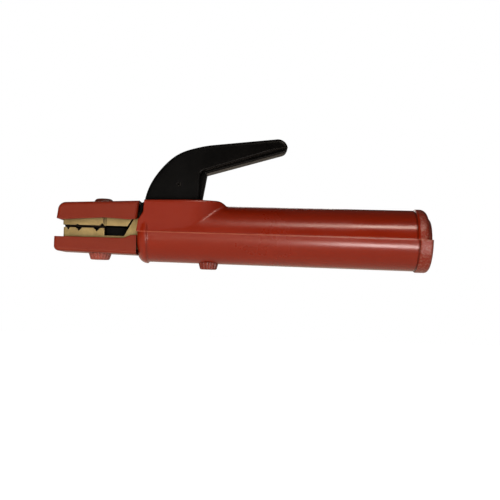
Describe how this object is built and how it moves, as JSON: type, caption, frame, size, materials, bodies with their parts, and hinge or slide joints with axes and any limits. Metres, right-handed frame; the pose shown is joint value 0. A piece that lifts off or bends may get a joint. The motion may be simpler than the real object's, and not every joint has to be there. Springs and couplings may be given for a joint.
{
  "type": "welding electrode holder",
  "caption": "Tong-type stick welding electrode holder: insulated round handle, sprung hand lever, brass jaws with cross grooves and clip-on jaw insulators.",
  "frame": {"origin": "centre of the cable opening in the rear face of the handle", "axes": "+X along the handle out of its rear end, +Z from the handle towards the lever, +Y across, the jaws point along -X"},
  "size_m": [0.2455, 0.042, 0.0868],
  "materials": {
    "red_resin": "semi-gloss moulded, brick red",
    "black_resin": "satin moulded, black",
    "brass": "cast, tarnished",
    "zinc_steel": "zinc plated",
    "spring_steel": "oiled spring steel",
    "fibre": "fibre board, matt"
  },
  "bodies": {
    "holder_body": {"handle": "red_resin", "handle_screw": "zinc_steel", "handle_screw_cap": "red_resin", "jaw_body": "brass", "jaw_stop": "black_resin", "lower_insulator": "red_resin", "lower_insulator_screw": "zinc_steel", "lower_insulator_screw_cap": "red_resin", "pivot_pin": "zinc_steel", "pivot_clip": "spring_steel", "pivot_washers": "spring_steel", "return_spring": "spring_steel", "lower_spring_cup": "fibre", "cable_sleeve": "brass", "cable_clamp_screws": "zinc_steel"},
    "jaw_and_lever": {"upper_jaw": "brass", "lever": "black_resin", "lever_pin": "spring_steel", "upper_insulator": "red_resin", "upper_insulator_screw": "zinc_steel", "upper_insulator_screw_cap": "red_resin", "upper_spring_cup": "fibre"}
  },
  "joints": [
    {"name": "jaw_pivot", "type": "hinge", "parent": "holder_body", "child": "jaw_and_lever", "pos_m": [-0.172, 0, 0.005], "axis": [0, 1, 0], "range_deg": [0, 15], "stiffness_Nm_per_rad": 2, "springref_deg": -20.05, "deforming": ["return_spring"]}
  ]
}
